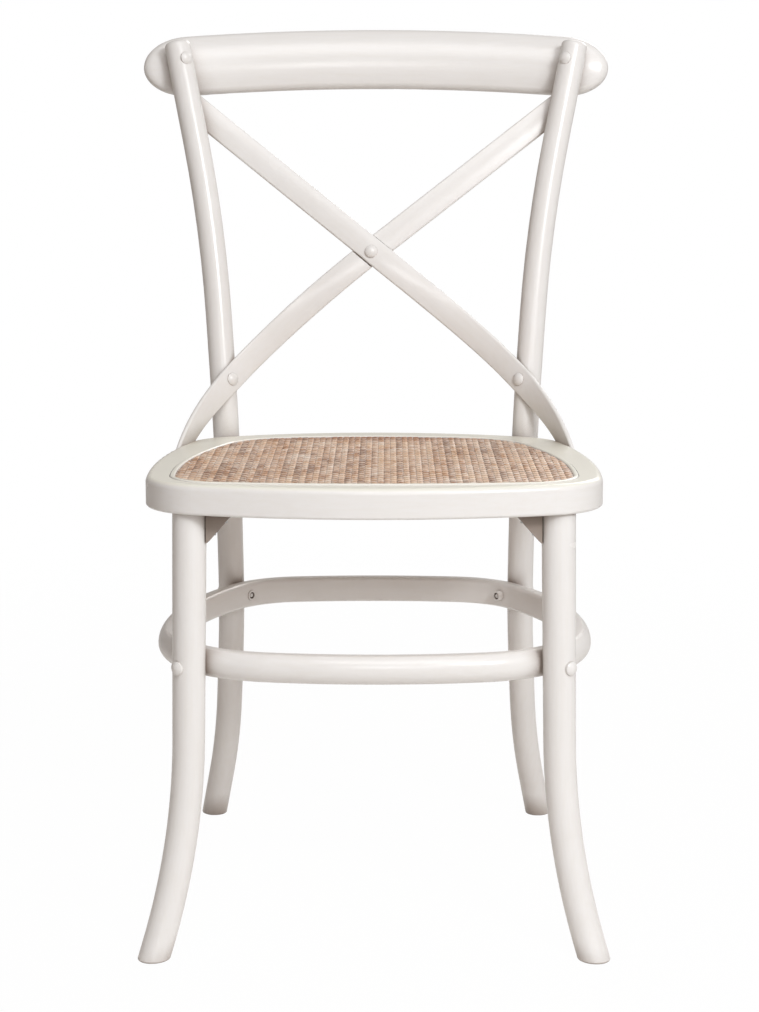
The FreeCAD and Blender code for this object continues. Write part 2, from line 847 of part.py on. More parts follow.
class Fixing:
    """A screw under a painted cap: its two solids and the holes that they need."""

    def __init__(self, surface, direction, length, sink, diameter=screw_diameter,
                 head_diameter=screw_head_diameter, tip=None):
        self.surface = surface
        self.direction = unit(direction)
        self.sizes = (diameter, head_diameter, length, sink)
        self.screw = placed_along(screw_shape(*self.sizes, tip), surface, self.direction)
        self.cap = placed_along(cap_shape(cap_diameter, sink), surface, self.direction)

    def loose_hole(self):
        """The hole in the first piece, which the screw passes through with room."""
        diameter, head_diameter, length, sink = self.sizes
        extra = screw_hole_clearance
        room = Part.makeCylinder((diameter + extra) / 2, length, Vector(0, 0, sink + screw_head_height))
        head = Part.makeCylinder((head_diameter + extra) / 2, screw_head_height, Vector(0, 0, sink))
        entry = Part.makeCylinder(cap_diameter / 2, sink + cap_stem_length, Vector(0, 0, -cap_stem_length))
        hole = room.fuse([head, entry])
        return placed_along(hole, self.surface, self.direction)


def crest_fixing():
    """Screw from the front of a post into the crest rail, from its inner side."""
    turn = math.radians(crest_screw_turn)
    out = rail_back_direction * -math.cos(turn) + X_AXIS * -math.sin(turn)
    surface = rail_screw_point + out * (post_diameter / 2)
    sink = round_surface_sink(post_diameter)
    length = post_diameter - rail_housing + crest_screw_grip - sink - screw_head_height
    return Fixing(surface, out * -1, length, sink)


def strap_top_fixing():
    """Screw from behind, through a strap's upper end into its post."""
    axis_point, direction = axis_at(rear_axis, strap_top_height)
    back = back_normal(direction)
    surface = axis_point + back * (post_contact_gap + strap_thickness / 2)
    surface = surface + mirrored(strap_points[0][1], -1) * (strap_screw_inset - strap_top_run_out)
    length = strap_thickness + strap_screw_grip - cap_seat - screw_head_height
    return Fixing(surface, back * -1, length, cap_seat, small_screw_diameter,
                  small_screw_head_diameter)


def strap_post_fixing():
    """Screw through the front of a strap into the post behind it."""
    point, _, front = strap_points[2]
    surface = point + front * (strap_thickness / 2)
    length = strap_thickness + strap_screw_grip - cap_seat - screw_head_height
    return Fixing(surface, front * -1, length, cap_seat, small_screw_diameter,
                  small_screw_head_diameter)


def strap_foot_fixing():
    """Screw through a strap's foot into the side of the seat frame."""
    point, _, front = strap_points[3]
    run = strap_points[3][1]
    surface = point - front * (strap_thickness / 2) - run * strap_foot_screw_rise
    length = strap_thickness + strap_foot_screw_grip - cap_seat - screw_head_height
    return Fixing(surface, front, length, cap_seat, small_screw_diameter, small_screw_head_diameter)


def strap_centre_fixing():
    """Short screw through the front strap into the one behind it, where they cross."""
    point, _, front = strap_points[1]
    surface = point - X_AXIS * rear_strap_cross_offset + front * (strap_thickness / 2 + lap_step)
    length = strap_thickness + 2 * lap_step - centre_screw_skin - cap_seat - screw_head_height
    return Fixing(surface, front * -1, length, cap_seat, small_screw_diameter,
                  small_screw_head_diameter)


def seat_bolt_fixing():
    """Bolt through a post into the corner of the seat frame."""
    out = turned(post_turn)
    axis_point, _ = axis_at(rear_axis, seat_middle)
    surface = axis_point + out * (post_diameter / 2)
    sink = round_surface_sink(post_diameter)
    length = post_diameter + seat_bolt_reach - sink - screw_head_height
    return Fixing(surface, out * -1, length, sink, seat_bolt_diameter, seat_bolt_head_diameter)


def barrel_nut(fixing):
    """The upright nut in the seat frame that the seat bolt screws into."""
    reach = post_diameter + seat_bolt_reach - barrel_nut_diameter
    centre = fixing.surface + fixing.direction * reach
    half = Z_AXIS * (barrel_nut_height / 2)
    return rod(barrel_nut_diameter, centre - half, centre + half)


def barrel_nut_bore(fixing):
    """The nut's hole, which is drilled from under the frame."""
    reach = post_diameter + seat_bolt_reach - barrel_nut_diameter
    centre = fixing.surface + fixing.direction * reach
    return rod(barrel_nut_diameter, centre - Z_AXIS * seat_thickness,
               centre + Z_AXIS * (barrel_nut_height / 2))


def front_hoop_fixing():
    """Screw from the outside of a front leg into the hoop."""
    inward = hoop_leg_inward
    surface = hoop_leg_point - inward * (front_leg_diameter / 2)
    sink = round_surface_sink(front_leg_diameter)
    length = front_leg_diameter + hoop_screw_grip - sink - screw_head_height
    return Fixing(surface, inward, length, sink)


hoop_bolt_through = post_diameter + hoop_depth - hoop_housing


def rear_hoop_fixing(sleeve_proud):
    """Bolt from the outside of a post through the hoop, to just inside its sleeve's end."""
    inward = hoop_post_inward
    surface = hoop_post_point - inward * (post_diameter / 2)
    sink = round_surface_sink(post_diameter)
    length = hoop_bolt_through - sink - screw_head_height + sleeve_proud - hoop_bolt_set_back
    return Fixing(surface, inward, length, sink, tip=(bolt_end_bevel, bolt_end_bevel))


def bolt_sleeve(fixing, proud, bore):
    """The short sleeve round a bolt's end, on the inner face of the hoop."""
    face = fixing.surface + fixing.direction * hoop_bolt_through
    start = face - fixing.direction * sleeve_seat_depth
    end = face + fixing.direction * proud
    sleeve = rod(sleeve_diameter, start, end)
    if bore:
        sleeve = sleeve.cut(rod(sleeve_bore, start - fixing.direction, end + fixing.direction))
    return sleeve


def gusset_screws_right():
    """One screw up through the gusset into the frame and one across into the leg."""
    start, along, _ = gusset_frame()
    face_slope = gusset_drop / gusset_run
    screws = []
    run = gusset_run - gusset_screw_inset
    drop = (gusset_run - run) * face_slope - gusset_screw_sink
    point = start + along * run - Z_AXIS * drop
    shape = screw_shape(small_screw_diameter, small_screw_head_diameter, gusset_up_screw_length, 0)
    screws.append((placed_along(shape, point, Z_AXIS), point, Z_AXIS))
    drop = gusset_drop - gusset_screw_inset
    run = (gusset_drop - drop) / face_slope - gusset_screw_sink
    point = start + along * run - Z_AXIS * drop
    shape = screw_shape(small_screw_diameter, small_screw_head_diameter, gusset_side_screw_length, 0)
    screws.append((placed_along(shape, point, along * -1), point, along * -1))
    return screws


def head_room(point, direction):
    """The round recess in front of a gusset screw's head."""
    return rod(small_screw_head_diameter, point - direction * gusset_run, point)


# Assembly of the pieces

def both(shape):
    return [shape, mirrored_shape(shape)]


def pair(shape):
    return Part.makeCompound(both(shape))


def build():
    nodes = {}
    over, under = cross_straps()
    crest = crest_fixing()
    top = strap_top_fixing()
    low = strap_post_fixing()
    foot = strap_foot_fixing()
    centre = strap_centre_fixing()
    seat_bolt = seat_bolt_fixing()
    leg_screw = front_hoop_fixing()
    hoop_bolt = rear_hoop_fixing(sleeve_proud_right)
    short_hoop_bolt = rear_hoop_fixing(sleeve_proud_left)
    gusset_screws = gusset_screws_right()
    dowels = seat_dowels()

    # Seat frame with its housings and holes, then its two pieces
    frame = whole_seat_frame()
    post = rear_post()
    frame = frame.cut(both(post))
    frame = frame.cut([over, under])
    frame = frame.cut(both(tenon_bore()))
    frame = frame.cut(both(seat_bolt.screw) + both(barrel_nut_bore(seat_bolt)))
    frame = frame.cut(both(foot.screw))
    frame = frame.cut(dowels)
    frame = frame.cut(both(gusset_screws[0][0]))
    zone = back_rail_zone()
    nodes["seat_bow"] = frame.cut(zone)
    nodes["seat_back_rail"] = frame.common(zone)
    nodes["seat_dowels"] = Part.makeCompound(dowels)
    nodes["cane_panel"] = cane_panel()
    nodes["cane_spline"] = cane_spline()

    # Hoop, legs and posts
    hoop = hoop_stretcher()
    leg = front_leg().cut(leg_screw.loose_hole()).cut(gusset_screws[1][0])
    post = post.cut([crest.loose_hole(), seat_bolt.loose_hole(), hoop_bolt.loose_hole()])
    post = post.cut([top.screw, low.screw])
    nodes["front_leg_left"] = mirrored_shape(leg)
    nodes["front_leg_right"] = leg
    nodes["rear_post_left"] = mirrored_shape(post).cut(over).cut(under)
    nodes["rear_post_right"] = post.cut(over).cut(under)

    sleeve_right = bolt_sleeve(hoop_bolt, sleeve_proud_right, True)
    sleeve_left = mirrored_shape(bolt_sleeve(hoop_bolt, sleeve_proud_left, True))
    sleeve_room = bolt_sleeve(hoop_bolt, sleeve_proud_right, False)
    hoop = hoop.cut(both(leg_screw.screw) + both(hoop_bolt.loose_hole()) + both(sleeve_room))
    nodes["hoop_stretcher"] = hoop

    rail = crest_rail().cut(both(rear_post())).cut(both(crest.screw))
    nodes["crest_rail"] = rail

    over = over.cut([mirrored_shape(top.loose_hole()), low.loose_hole(), foot.loose_hole(),
                     centre.loose_hole()])
    under = under.cut([top.loose_hole(), mirrored_shape(low.loose_hole()),
                       mirrored_shape(foot.loose_hole()), centre.screw])
    nodes["cross_strap_front"] = over
    nodes["cross_strap_rear"] = under

    brace = gusset()
    for screw, point, direction in gusset_screws:
        brace = brace.cut([screw, head_room(point, direction)])
    nodes["gusset_left"] = mirrored_shape(brace)
    nodes["gusset_right"] = brace
    nodes["gusset_screws"] = Part.makeCompound(
        [side for screw, _, _ in gusset_screws for side in both(screw)])

    nodes["crest_rail_screws"] = pair(crest.screw)
    nodes["crest_rail_caps"] = pair(crest.cap)
    nodes["strap_top_screws"] = pair(top.screw)
    nodes["strap_top_caps"] = pair(top.cap)
    nodes["strap_post_screws"] = pair(low.screw)
    nodes["strap_post_caps"] = pair(low.cap)
    nodes["strap_foot_screws"] = pair(foot.screw)
    nodes["strap_foot_caps"] = pair(foot.cap)
    nodes["strap_centre_screw"] = centre.screw
    nodes["strap_centre_cap"] = centre.cap
    nodes["seat_bolts"] = pair(seat_bolt.screw)
    nodes["seat_bolt_caps"] = pair(seat_bolt.cap)
    nodes["seat_bolt_nuts"] = pair(barrel_nut(seat_bolt).cut(seat_bolt.screw))
    nodes["front_hoop_screws"] = pair(leg_screw.screw)
    nodes["front_hoop_caps"] = pair(leg_screw.cap)
    nodes["rear_hoop_bolts"] = Part.makeCompound(
        [hoop_bolt.screw, mirrored_shape(short_hoop_bolt.screw)])
    nodes["rear_hoop_caps"] = pair(hoop_bolt.cap)
    nodes["rear_hoop_sleeves"] = Part.makeCompound([sleeve_left, sleeve_right])
    return nodes


def solid_or_group(shape):
    """One solid on its own, or a group of several."""
    solids = shape.Solids
    return solids[0] if len(solids) == 1 else Part.makeCompound(solids)


if __name__ == "__main__":
    pieces = {name: solid_or_group(shape) for name, shape in build().items()}
    box = Part.makeCompound(list(pieces.values())).optimalBoundingBox(False, False)
    middle = Vector(box.Center.x, box.Center.y, box.ZMin)
    os.makedirs("parts", exist_ok=True)
    for name, piece in pieces.items():
        piece.translate(middle * -1)
        piece.exportStep(os.path.join("parts", name + ".step"))
        print(name, piece.isValid(), len(piece.Solids), round(piece.Volume / 1000, 3))
    print("box", round(box.XLength, 2), round(box.YLength, 2), round(box.ZLength, 2))
    print("middle", round(middle.x, 3), round(middle.y, 3), round(middle.z, 3))
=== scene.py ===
import math

import bmesh
import bpy
from mathutils import Matrix, Vector


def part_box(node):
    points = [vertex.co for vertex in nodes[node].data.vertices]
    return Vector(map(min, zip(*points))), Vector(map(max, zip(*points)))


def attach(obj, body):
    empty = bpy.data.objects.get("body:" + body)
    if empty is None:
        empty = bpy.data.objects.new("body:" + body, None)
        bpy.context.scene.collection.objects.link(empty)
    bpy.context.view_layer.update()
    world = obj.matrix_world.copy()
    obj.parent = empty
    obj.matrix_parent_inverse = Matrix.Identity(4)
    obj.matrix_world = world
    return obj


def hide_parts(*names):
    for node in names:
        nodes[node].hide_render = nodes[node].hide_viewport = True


# A cross back chair in satin off-white lacquer with a woven cane seat.
# Lengths are in metres. The chair faces -Y and +Z is up.

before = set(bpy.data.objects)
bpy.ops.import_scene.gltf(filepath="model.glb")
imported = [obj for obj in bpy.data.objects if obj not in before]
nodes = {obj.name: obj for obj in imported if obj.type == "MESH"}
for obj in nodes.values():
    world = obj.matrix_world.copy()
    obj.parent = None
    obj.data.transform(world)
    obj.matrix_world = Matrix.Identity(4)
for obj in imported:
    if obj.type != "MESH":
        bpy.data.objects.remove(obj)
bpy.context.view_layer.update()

MM = 0.001
white = (1.0, 1.0, 1.0)
black = (0.0, 0.0, 0.0)

# Photograph's frame and camera
image_width = 759
image_height = 1012
focal_pixels = 2306.2
sensor_width = 36.0
far_clip = 50.0
camera_place = (11.9 * MM, -2381.2 * MM, 801.6 * MM)
camera_pitch = math.radians(9.5)
camera_yaw = math.radians(0.175)

# Lamps: place, height of the point they aim at, width and height, power, colour
lamps = {
    "key": ((1.25, -2.2, 1.85), 0.45, (0.7, 0.5), 38.0, (0.955, 0.975, 1.0)),
    "upper": ((0.2, -1.9, 2.9), 0.45, (1.6, 1.3), 25.0, (0.98, 0.985, 1.0)),
    "rear": ((1.1, 2.4, 1.9), 0.5, (1.4, 1.2), 21.0, (1.0, 0.99, 0.97)),
    "front": ((0.1, -2.7, 1.25), 0.5, (0.6, 0.3), 7.0, (0.97, 0.98, 1.0)),
}

# Light of the surroundings from the left and from the right
ambient_left = (0.15, 0.115, 0.09)
ambient_right = (0.33, 0.30, 0.28)

# Share of the white background that mirror reflections show
glossy_share = 0.4

# Floor: its tones, how white the camera sees it, and where it fades out
floor_radius = 6.0
floor_sides = 96
floor_tones = ((0.3, (0.88, 0.85, 0.82)), (0.7, (0.91, 0.88, 0.85)))
floor_roughness = 0.9
floor_specular = 0.1
floor_whiteness = 0.985
fade_start = 0.9
fade_end = 2.2

# Lacquer: its two tones, the cream of the seat's top, which is partly painted warm light from
# above, and the tint of the gussets, which is painted shadow.
# A relief is the strength of a bump and its height.
paint_light = (0.86, 0.85, 0.835)
paint_shade = (0.85, 0.835, 0.815)
# Cream on faces that point up: partly the lacquer's tone, partly painted warm light from above
cream_and_top_light = (0.94, 0.925, 0.82)
# The gussets' paint is darkened by this tint: painted shadow from the seat above them
gusset_painted_shadow = (0.42, 0.36, 0.32)
paint_roughness = 0.2
paint_roughness_spread = 0.1
paint_ior = 1.5
paint_relief = (0.2, 0.2 * MM)
grain_relief_share = 0.7
texture_relief_share = 0.3

# Patterns in the lacquer: scale of the grain along and across the wood, mottling, fine texture
grain_along = 16.0
grain_across = 240.0
mottle_scale = 11.0
texture_scale = 900.0
streak_tones = ((0.35, (0.985, 0.98, 0.97)), (0.6, white))
# Over these stops, painted light from above turns upward faces cream
upward_stops = ((0.45, black), (0.95, white))

# Painted shade: a warm dark colour that darkens the corners between pieces
corner_samples = 8
corner_shade_reach = 35.0 * MM
corner_shade_share = 0.9
corner_shade_tones = ((0.06, (0.03, 0.022, 0.018)), (0.22, (0.34, 0.26, 0.21)), (0.85, white))

# Middle and size of the seat ring, for grain that runs round it
ring_middle = 40.0 * MM
ring_radius = 210.0 * MM

# Slope of the cross straps, for grain that runs along them
strap_slope = math.radians(-40.0)

# Woven cane, with the width of the strands that run across and their phase in the weave
warp_pitch = 6.3 * MM
warp_width = 6.2 * MM
strand_thickness = 0.85 * MM
strand_flat_share = 0.6
weave_rise = 0.55 * MM
weave_depth = 0.85 * MM
edge_tuck = 0.8 * MM
wide_weft = (9.0 * MM, 0.0)
narrow_weft = (3.0 * MM, math.pi)
steps_per_pitch = 4
least_steps = 6
shortest_strand = 2 * warp_pitch

# Corner arcs of the cane inside its bead: distance of the centre from the panel's
# middle line, its distance from the front or back edge, and the radius
panel_front_corner = (146.0 * MM, 57.0 * MM, 47.0 * MM)
panel_back_corner = (82.5 * MM, 88.0 * MM, 80.0 * MM)
steps_per_arc = 40

# Colours of the strands that run from front to back and of those that run across
warp_tones = ((0.46, (0.20, 0.085, 0.035)), (0.64, (0.56, 0.29, 0.145)), (0.86, (0.77, 0.57, 0.42)))
weft_tones = ((0.46, (0.34, 0.20, 0.13)), (0.64, (0.64, 0.46, 0.34)), (0.86, (0.83, 0.75, 0.67)))
warp_roughness = 0.42
weft_roughness = 0.32
cane_roughness_spread = 0.15
cane_relief = (0.5, 0.18 * MM)
worn_tones = ((0.42, white), (0.62, (0.95, 0.80, 0.62)))
worn_share = 0.8
pale_fibre = (0.84, 0.76, 0.68)
pale_fibre_stops = ((0.54, black), (0.62, white))
pale_fibre_share = 0.6

# Scales of the patterns in the cane. The first two are across a strand, along it and through it.
fibre_scale = (1500.0, 60.0, 200.0)
patch_scale = (170.0, 70.0, 1.0)
uneven_scale = (60.0, 25.0, 1.0)
worn_scale = (36.0, 36.0, 1.0)
dash_scale = (130.0, 420.0, 1.0)

# How much each pattern lightens or darkens a strand
# Alternate columns are made lighter: painted highlight of the strands that lie on top
warp_column_highlight = 0.20
weft_column_highlight = 0.12
strand_weight = 0.20
fibre_weight = 0.42
patch_weight = 0.62
uneven_weight = 0.9

# Painted shade near the back edge of the cane and between its strands
back_edge_painted_shade = (0.55, 0.36, 0.26)
back_edge_shade_width = 45 * MM
strand_gap_shade_reach = 6.0 * MM
strand_gap_shade_tones = ((0.2, (0.36, 0.20, 0.12)), (0.7, white))

# Zinc plated steel and bare beech of the hidden pieces
steel_scale = 700.0
steel_tones = ((0.3, (0.42, 0.42, 0.42)), (0.7, (0.62, 0.62, 0.60)))
steel_roughness = (0.28, 0.45)
steel_relief = (0.3, 0.1 * MM)
beech_scale = (300.0, 300.0, 30.0)
beech_tones = ((0.3, (0.50, 0.34, 0.20)), (0.7, (0.66, 0.48, 0.30)))
beech_roughness = 0.6
beech_relief = (0.4, 0.2 * MM)


# Node helpers

def new_material(name):
    material = bpy.data.materials.new(name)
    material.use_nodes = True
    tree = material.node_tree
    shader = tree.nodes["Principled BSDF"]
    return material, tree, shader


def link(tree, source, target):
    tree.links.new(source, target)


def node(tree, kind, **values):
    made = tree.nodes.new(kind)
    for key, value in values.items():
        setattr(made, key, value)
    return made


def maths(tree, operation, *values):
    made = node(tree, "ShaderNodeMath", operation=operation)
    for number, value in enumerate(values):
        if isinstance(value, (int, float)):
            made.inputs[number].default_value = value
        else:
            link(tree, value, made.inputs[number])
    return made.outputs[0]


def weighted_sum(tree, *parts):
    """Sum of values, each times its weight."""
    total = None
    for value, weight in parts:
        part = maths(tree, "MULTIPLY", value, weight)
        total = part if total is None else maths(tree, "ADD", total, part)
    return total


def axes_of(tree, vector):
    parts = node(tree, "ShaderNodeSeparateXYZ")
    link(tree, vector, parts.inputs[0])
    return parts.outputs["X"], parts.outputs["Y"], parts.outputs["Z"]


def object_coordinates(tree, scale=(1, 1, 1), turn=0.0):
    """Object coordinates, turned about Y and then stretched."""
    coordinates = node(tree, "ShaderNodeTexCoord")
    turned = node(tree, "ShaderNodeMapping")
    turned.inputs["Rotation"].default_value = (0.0, turn, 0.0)
    link(tree, coordinates.outputs["Object"], turned.inputs["Vector"])
    stretched = node(tree, "ShaderNodeMapping")
    stretched.inputs["Scale"].default_value = scale
    link(tree, turned.outputs["Vector"], stretched.inputs["Vector"])
    return stretched.outputs["Vector"]


def ring_coordinates(tree, scale):
    """Coordinates that run round the seat: along the ring, across it and up."""
    x, y, z = axes_of(tree, object_coordinates(tree))
    y = maths(tree, "ADD", y, ring_middle)
    around = maths(tree, "MULTIPLY", maths(tree, "ARCTAN2", y, x), ring_radius * scale[0])
    squares = maths(tree, "ADD", maths(tree, "MULTIPLY", x, x), maths(tree, "MULTIPLY", y, y))
    reach = maths(tree, "SQRT", squares)
    joined = node(tree, "ShaderNodeCombineXYZ")
    link(tree, around, joined.inputs[0])
    link(tree, maths(tree, "MULTIPLY", reach, scale[1]), joined.inputs[1])
    link(tree, maths(tree, "MULTIPLY", z, scale[2]), joined.inputs[2])
    return joined.outputs[0]


def noise(tree, vector, scale=1.0, detail=3.0, roughness=0.5):
    made = node(tree, "ShaderNodeTexNoise")
    made.inputs["Scale"].default_value = scale
    made.inputs["Detail"].default_value = detail
    made.inputs["Roughness"].default_value = roughness
    link(tree, vector, made.inputs["Vector"])
    return made.outputs["Fac"]


def ramp(tree, factor, stops):
    made = node(tree, "ShaderNodeValToRGB")
    elements = made.color_ramp.elements
    while len(elements) < len(stops):
        elements.new(0.5)
    for element, (place, colour) in zip(elements, stops):
        element.position = place
        element.color = (*colour, 1.0)
    link(tree, factor, made.inputs["Fac"])
    return made.outputs["Color"]


def grey_ramp(tree, factor, low, high):
    """A value that goes from low to high over the middle of a noise."""
    return ramp(tree, factor, ((0.3, (low, low, low)), (0.7, (high, high, high))))


def smooth_step(tree, value, low, high):
    made = node(tree, "ShaderNodeMapRange", interpolation_type="SMOOTHSTEP")
    made.inputs["From Min"].default_value = low
    made.inputs["From Max"].default_value = high
    link(tree, value, made.inputs["Value"])
    return made.outputs["Result"]


def mix_colour(tree, factor, first, second, blend="MIX"):
    made = node(tree, "ShaderNodeMix", data_type="RGBA", blend_type=blend)
    for value, name in ((factor, 0), (first, 6), (second, 7)):
        socket = made.inputs[name]
        if isinstance(value, (int, float)):
            socket.default_value = value
        elif isinstance(value, tuple):
            socket.default_value = (*value, 1.0)
        else:
            link(tree, value, socket)
    return made.outputs[2]


def mix_shader(tree, factor, first, second):
    made = node(tree, "ShaderNodeMixShader")
    link(tree, factor, made.inputs["Fac"])
    link(tree, first, made.inputs[1])
    link(tree, second, made.inputs[2])
    return made.outputs[0]


def painted_corner_shade(tree, base, reach, share, tones):
    """The base colour with painted shade where other surfaces are near."""
    corner = node(tree, "ShaderNodeAmbientOcclusion", samples=corner_samples)
    corner.inputs["Distance"].default_value = reach
    return mix_colour(tree, share, base, ramp(tree, corner.outputs["AO"], tones), "MULTIPLY")


def bump(tree, shader, height, strength, distance):
    made = node(tree, "ShaderNodeBump")
    made.inputs["Strength"].default_value = strength
    made.inputs["Distance"].default_value = distance
    link(tree, height, made.inputs["Height"])
    link(tree, made.outputs["Normal"], shader.inputs["Normal"])


def seen_directly(tree):
    """1 for rays from the camera or through glass, and a share of 1 for mirror rays."""
    path = node(tree, "ShaderNodeLightPath")
    camera, through = path.outputs["Is Camera Ray"], path.outputs["Is Transmission Ray"]
    mirrored = maths(tree, "MULTIPLY", path.outputs["Is Glossy Ray"], glossy_share)
    return maths(tree, "MAXIMUM", maths(tree, "MAXIMUM", camera, through), mirrored)


# Materials

def lacquer(name, run="z", turn=0.0, cream=False, tint=white):
    """Satin lacquer over wood: faint grain, soft mottling, painted shade in the corners, and where
    asked, painted light on upward faces and a painted-shadow tint.
    """
    material, tree, shader = new_material(name)
    if run == "ring":
        grain_place = ring_coordinates(tree, (grain_along, grain_across, grain_across))
    else:
        grain_scale = tuple(grain_along if axis == run else grain_across for axis in "xyz")
        grain_place = object_coordinates(tree, grain_scale, turn)
    grain = noise(tree, grain_place, detail=4.0, roughness=0.6)
    mottle = noise(tree, object_coordinates(tree), mottle_scale)
    fine = noise(tree, object_coordinates(tree), texture_scale, 2.0, 0.6)
    base = mix_colour(tree, mottle, paint_shade, paint_light)
    # Multiplying by the tint paints shadow where it is not white, as on the gussets
    base = mix_colour(tree, 1.0, base, tint, "MULTIPLY")
    base = mix_colour(tree, 1.0, base, ramp(tree, grain, streak_tones), "MULTIPLY")
    # Upward faces turn cream: partly the lacquer's tone, partly painted light from above
    if cream:
        geometry = node(tree, "ShaderNodeNewGeometry")
        upward = axes_of(tree, geometry.outputs["True Normal"])[2]
        base = mix_colour(tree, ramp(tree, upward, upward_stops), base, cream_and_top_light)
    # Painted shade in the corners between pieces, where other surfaces are near
    base = painted_corner_shade(tree, base, corner_shade_reach, corner_shade_share, corner_shade_tones)
    link(tree, base, shader.inputs["Base Color"])
    spread = maths(tree, "MULTIPLY", mottle, paint_roughness_spread)
    link(tree, maths(tree, "ADD", spread, paint_roughness), shader.inputs["Roughness"])
    shader.inputs["IOR"].default_value = paint_ior
    height = weighted_sum(tree, (grain, grain_relief_share), (fine, texture_relief_share))
    bump(tree, shader, height, *paint_relief)
    return material


def cane(name, across, column_highlight, tones, polish):
    """Flat strands of cane: fibres along the strand, each strand in its own tone, with painted
    highlight on alternate columns and painted shade at the back edge and between the strands.

    The strands lie side by side along the axis named by across.
    """
    material, tree, shader = new_material(name)

    def strand_noise(scale, detail, roughness):
        if across == "y":
            scale = (scale[1], scale[0], scale[2])
        return noise(tree, object_coordinates(tree, scale), 1.0, detail, roughness)

    def strand_number(place):
        pitches = maths(tree, "DIVIDE", place, warp_pitch)
        return maths(tree, "FLOOR", maths(tree, "ADD", pitches, 0.5))

    x, y, _ = axes_of(tree, object_coordinates(tree))
    own = node(tree, "ShaderNodeTexWhiteNoise", noise_dimensions="1D")
    link(tree, strand_number(x if across == "x" else y), own.inputs["W"])
    # Alternate columns: painted highlight of the strands that lie on top
    highlighted_column = maths(tree, "PINGPONG", strand_number(x), 1.0)
    fibre = strand_noise(fibre_scale, 3.0, 0.65)
    patch = strand_noise(patch_scale, 2.0, 0.6)
    uneven = noise(tree, object_coordinates(tree, uneven_scale), roughness=0.7)
    worn = noise(tree, object_coordinates(tree, worn_scale), roughness=0.6)
    dash = noise(tree, object_coordinates(tree, dash_scale), detail=2.0, roughness=0.6)

    tone = weighted_sum(
        tree, (own.outputs["Value"], strand_weight), (highlighted_column, column_highlight), (fibre, fibre_weight),
        (patch, patch_weight), (maths(tree, "SUBTRACT", uneven, 0.5), uneven_weight))
    base = ramp(tree, tone, tones)
    base = mix_colour(tree, worn_share, base, ramp(tree, worn, worn_tones), "MULTIPLY")
    pale = maths(tree, "MULTIPLY", ramp(tree, dash, pale_fibre_stops), pale_fibre_share)
    base = mix_colour(tree, pale, base, pale_fibre)
    # Painted shade darkens the cane towards its back edge
    back_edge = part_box("cane_panel")[1][1]
    near_back = smooth_step(tree, y, back_edge - back_edge_shade_width, back_edge)
    back_shaded = mix_colour(tree, 1.0, base, back_edge_painted_shade, "MULTIPLY")
    base = mix_colour(tree, near_back, base, back_shaded)
    # Painted shade between the strands, where other strands are near
    base = painted_corner_shade(tree, base, strand_gap_shade_reach, 1.0, strand_gap_shade_tones)
    link(tree, base, shader.inputs["Base Color"])
    rough = grey_ramp(tree, fibre, polish, polish + cane_roughness_spread)
    link(tree, rough, shader.inputs["Roughness"])
    bump(tree, shader, fibre, *cane_relief)
    return material


def plated_steel():
    material, tree, shader = new_material("zinc_plated_steel")
    spots = noise(tree, object_coordinates(tree), steel_scale, roughness=0.6)
    link(tree, ramp(tree, spots, steel_tones), shader.inputs["Base Color"])
    link(tree, grey_ramp(tree, spots, *steel_roughness), shader.inputs["Roughness"])
    shader.inputs["Metallic"].default_value = 1.0
    bump(tree, shader, spots, *steel_relief)
    return material


def bare_wood():
    material, tree, shader = new_material("bare_beech")
    grain = noise(tree, object_coordinates(tree, beech_scale), detail=4.0, roughness=0.6)
    link(tree, ramp(tree, grain, beech_tones), shader.inputs["Base Color"])
    shader.inputs["Roughness"].default_value = beech_roughness
    bump(tree, shader, grain, *beech_relief)
    return material


upright_paint = lacquer("lacquer_upright", "z")
level_paint = lacquer("lacquer_level", "x")
hoop_paint = lacquer("lacquer_hoop", "ring")
seat_paint = lacquer("lacquer_seat", "ring", cream=True)
# The gussets' tint is painted shadow
gusset_paint = lacquer("lacquer_gusset_painted_shadow", "x", tint=gusset_painted_shadow)
front_strap_paint = lacquer("lacquer_front_strap", "x", strap_slope)
rear_strap_paint = lacquer("lacquer_rear_strap", "x", -strap_slope)
steel = plated_steel()
beech = bare_wood()

# Screws, bolts and nuts are steel, and all that isn't named here has the upright pieces' paint.
# The rear hoop bolts are painted, as their ends show so in the photograph.
paints = {
    "seat_bow": seat_paint, "seat_back_rail": seat_paint, "cane_spline": seat_paint,
    "crest_rail": level_paint, "hoop_stretcher": hoop_paint,
    "cross_strap_front": front_strap_paint, "cross_strap_rear": rear_strap_paint,
    "gusset_left": gusset_paint, "gusset_right": gusset_paint,
    "seat_dowels": beech, "rear_hoop_bolts": upright_paint,
}
for name, piece in nodes.items():
    metal = name.endswith(("screws", "screw", "bolts", "nuts"))
    finish = paints.get(name, steel if metal else upright_paint)
    if not piece.material_slots:
        piece.data.materials.append(finish)
    for slot in piece.material_slots:
        slot.material = finish


# Woven cane panel

def end_radius(corner_x, reach, corner_radius):
    """Radius of an end's arc, centred on the chair's middle, that meets a corner's arc."""
    return (corner_x ** 2 + reach ** 2 - corner_radius ** 2) / (2 * (reach - corner_radius))


def side_arc(half, front_corner, back_corner):
    """Height and radius of the side's arc, which meets both corner arcs and reaches half."""
    (fx, fy, fr), (bx, by, br) = front_corner, back_corner
    front_gap, back_gap = half - fx, half - bx
    front_lead, back_lead = front_gap - fr, back_gap - br
    front_part, back_part = front_gap ** 2 - fr ** 2, back_gap ** 2 - br ** 2
    square = back_lead - front_lead
    linear = 2 * (front_lead * by - back_lead * fy)
    rest = back_lead * (front_part + fy ** 2) - front_lead * (back_part + by ** 2)
    root = math.sqrt(linear * linear - 4 * square * rest)
    side_y = min(((-linear + root) / (2 * square), (-linear - root) / (2 * square)),
                 key=lambda y: abs(y - (fy + by) / 2))
    return side_y, (front_part + (fy - side_y) ** 2) / (2 * front_lead)


